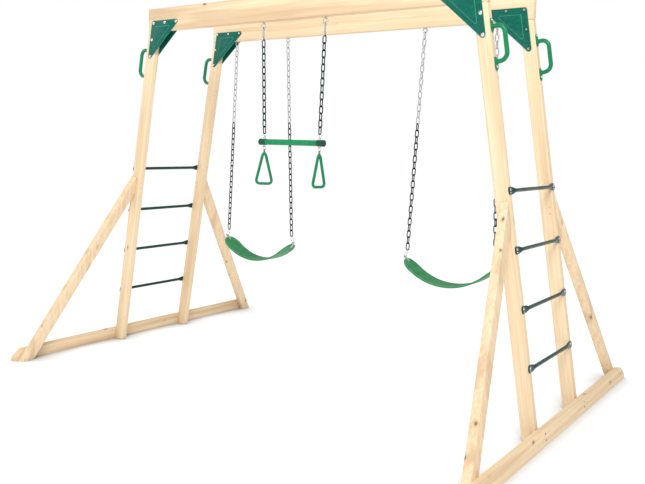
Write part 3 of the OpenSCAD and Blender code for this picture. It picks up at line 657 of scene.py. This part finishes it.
# Finishes of the nodes that stay
nodeLooks = {
    "brightSteel": ["corner_bolts", "corner_nuts", "rung_bolts", "grip_screws", "trapeze_rings",
                    "left_seat_rivets", "right_seat_rivets", "bar_staples", "left_bar_ring",
                    "right_bar_ring"],
    "zinc": ["rung_screws", "swing_hangers", "trapeze_hangers", "trapeze_rods", "left_bare_chains",
             "right_bare_chains", "left_seat_tabs", "right_seat_tabs"],
    "darkSteel": ["frame_screws"],
    "chainCoat": ["left_coated_chains", "right_coated_chains", "trapeze_chains"],
    "barGreen": ["trapeze_bar"],
    "capGreen": ["bar_end_caps"],
    "brass": ["left_swivel", "right_swivel"]}
for look, kept in nodeLooks.items():
    for node in kept:
        mesh = frame["nodes"][node].data
        mesh.materials.clear()
        mesh.materials.append(looks[look])
print("node looks done")

# Stage, light and camera
stageLook = {"floorSize": 60, "floor": (0.5, 0.5, 0.5), "floorGlow": 0.68, "shadowReach": 0.3, "sky": 0.62,
             "key": 420, "fill": 40}
bm = bmesh.new()
bmesh.ops.create_grid(bm, x_segments=1, y_segments=1, size=stageLook["floorSize"])
floorMesh = bpy.data.meshes.new("floor")
bm.to_mesh(floorMesh)
bm.free()
floor = bpy.data.objects.new("floor", floorMesh)
bpy.context.scene.collection.objects.link(floor)
floorMaterial, nodes, links = newMaterial("paper")
nodes["Principled BSDF"].inputs["Base Color"].default_value = (*stageLook["floor"], 1)
nodes["Principled BSDF"].inputs["Roughness"].default_value = 0.9
nodes["Principled BSDF"].inputs["Emission Color"].default_value = (1, 1, 1, 1)
# the floor's glow drops where ambient occlusion finds the frame close by: a painted contact shadow
paintedContactShadow = nodes.new("ShaderNodeAmbientOcclusion")
paintedContactShadow.inputs["Distance"].default_value = stageLook["shadowReach"]
glowWithPaintedShadow = nodes.new("ShaderNodeMapRange")
glowWithPaintedShadow.inputs["From Min"].default_value = 0.4
glowWithPaintedShadow.inputs["To Max"].default_value = stageLook["floorGlow"]
links.new(paintedContactShadow.outputs["AO"], glowWithPaintedShadow.inputs["Value"])
links.new(glowWithPaintedShadow.outputs["Result"], nodes["Principled BSDF"].inputs["Emission Strength"])
floorMesh.materials.append(floorMaterial)

world = bpy.data.worlds.new("studio")
world.use_nodes = True
nodes, links = world.node_tree.nodes, world.node_tree.links
nodes["Background"].inputs["Color"].default_value = (1, 1, 1, 1)
seen = nodes.new("ShaderNodeMapRange")
seen.inputs["To Min"].default_value = stageLook["sky"]
path = nodes.new("ShaderNodeLightPath")
links.new(path.outputs["Is Camera Ray"], seen.inputs["Value"])
links.new(seen.outputs["Result"], nodes["Background"].inputs["Strength"])
bpy.context.scene.world = world


def areaLight(name, place, size, power):
    light = bpy.data.lights.new(name, "AREA")
    light.energy = power
    light.size = size
    lamp = bpy.data.objects.new(name, light)
    lamp.location = place
    lamp.rotation_euler = (Vector((0, 0, 1.1)) - Vector(place)).to_track_quat("-Z", "Y").to_euler()
    bpy.context.scene.collection.objects.link(lamp)


areaLight("key", (3.5, -5.0, 6.5), 3.5, stageLook["key"])
areaLight("fill", (-5.5, -4.0, 4.0), 4.0, stageLook["fill"])

cameraLook = {"place": (2.8005, -3.8977, 1.4489), "yaw": 35.464, "pitch": -7.412, "roll": 1.413,
              "lens": 42.842}
yaw, pitch, roll = (math.radians(cameraLook[k]) for k in ("yaw", "pitch", "roll"))
forward = Vector((-math.sin(yaw) * math.cos(pitch), math.cos(yaw) * math.cos(pitch), math.sin(pitch)))
right = Vector((math.cos(yaw), math.sin(yaw), 0))
up = right.cross(forward)
across = right * math.cos(roll) + up * math.sin(roll)
above = up * math.cos(roll) - right * math.sin(roll)
cameraData = bpy.data.cameras.new("camera")
cameraData.lens = cameraLook["lens"]
camera = bpy.data.objects.new("camera", cameraData)
camera.matrix_world = Matrix((across, above, -forward)).transposed().to_4x4()
camera.location = cameraLook["place"]
bpy.context.scene.collection.objects.link(camera)
bpy.context.scene.camera = camera
bpy.context.scene.view_settings.view_transform = "Standard"
